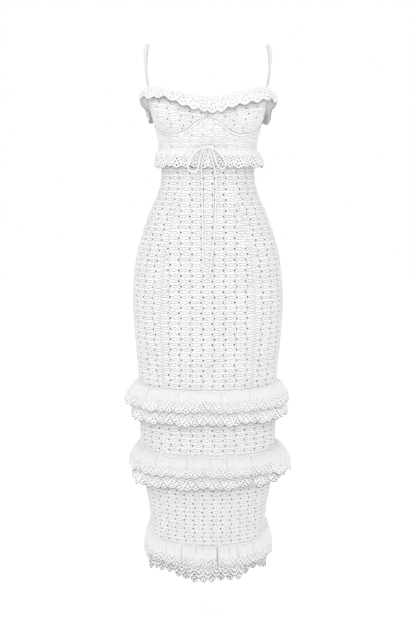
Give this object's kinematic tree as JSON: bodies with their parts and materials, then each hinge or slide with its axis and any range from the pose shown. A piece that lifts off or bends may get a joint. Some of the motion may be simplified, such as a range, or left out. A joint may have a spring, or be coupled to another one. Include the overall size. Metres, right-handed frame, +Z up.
{
  "type": "maxi dress",
  "caption": "Fitted sleeveless eyelet cotton dress with cups, thin straps, a front drawstring and gathered scalloped ruffles, worn hollow.",
  "frame": {"origin": "midway between the two places where the straps rest on the wearer's shoulders", "axes": "+Z up, the dress faces -Y, +X to the wearer's left"},
  "size_m": [0.4244, 0.2695, 1.3088],
  "materials": {
    "eyelet_cotton": "white cotton with rows of embroidered eyelets and wavy stitching",
    "ruffle_cotton": "white cotton edging with a scalloped eyelet border",
    "strap_cotton": "white cotton, folded and stitched",
    "cord_cotton": "white sewn cotton cord",
    "zip_tape": "white woven tape",
    "zip_metal": "white enamel"
  },
  "bodies": {
    "dress": {"cup_inner_left": "eyelet_cotton", "cup_inner_right": "eyelet_cotton", "cup_outer_left": "eyelet_cotton", "cup_outer_right": "eyelet_cotton", "cup_piping_left": "strap_cotton", "cup_piping_right": "strap_cotton", "bodice_midriff": "eyelet_cotton", "bodice_back_left": "eyelet_cotton", "bodice_back_right": "eyelet_cotton", "skirt_front_centre": "eyelet_cotton", "skirt_front_left": "eyelet_cotton", "skirt_front_right": "eyelet_cotton", "skirt_back_left": "eyelet_cotton", "skirt_back_right": "eyelet_cotton", "knee_band_front": "eyelet_cotton", "knee_band_back": "eyelet_cotton", "calf_band_front": "eyelet_cotton", "calf_band_back": "eyelet_cotton", "neckline_ruffle_front": "ruffle_cotton", "neckline_ruffle_back_left": "ruffle_cotton", "neckline_ruffle_back_right": "ruffle_cotton", "under_bust_ruffle_front": "ruffle_cotton", "under_bust_ruffle_back_left": "ruffle_cotton", "under_bust_ruffle_back_right": "ruffle_cotton", "knee_ruffle_upper_front": "ruffle_cotton", "knee_ruffle_upper_back": "ruffle_cotton", "knee_ruffle_under_front": "ruffle_cotton", "knee_ruffle_under_back": "ruffle_cotton", "calf_ruffle_upper_front": "ruffle_cotton", "calf_ruffle_upper_back": "ruffle_cotton", "calf_ruffle_under_front": "ruffle_cotton", "calf_ruffle_under_back": "ruffle_cotton", "hem_ruffle_upper_front": "ruffle_cotton", "hem_ruffle_upper_back": "ruffle_cotton", "hem_ruffle_under_front": "ruffle_cotton", "hem_ruffle_under_back": "ruffle_cotton", "strap_left": "strap_cotton", "strap_right": "strap_cotton", "drawstring_knot": "cord_cotton", "drawstring_loop_left": "cord_cotton", "drawstring_loop_right": "cord_cotton", "drawstring_tail_left": "cord_cotton", "drawstring_tail_right": "cord_cotton", "zip_tape": "zip_tape", "zip_slider": "zip_metal"},
    "zip_pull": {"zip_pull": "zip_metal"}
  },
  "joints": [
    {"name": "zip_pull_hinge", "type": "hinge", "parent": "dress", "child": "zip_pull", "pos_m": [0, 0.10137, -0.16683], "axis": [1, 0, 0], "range_deg": [0, 160]}
  ]
}
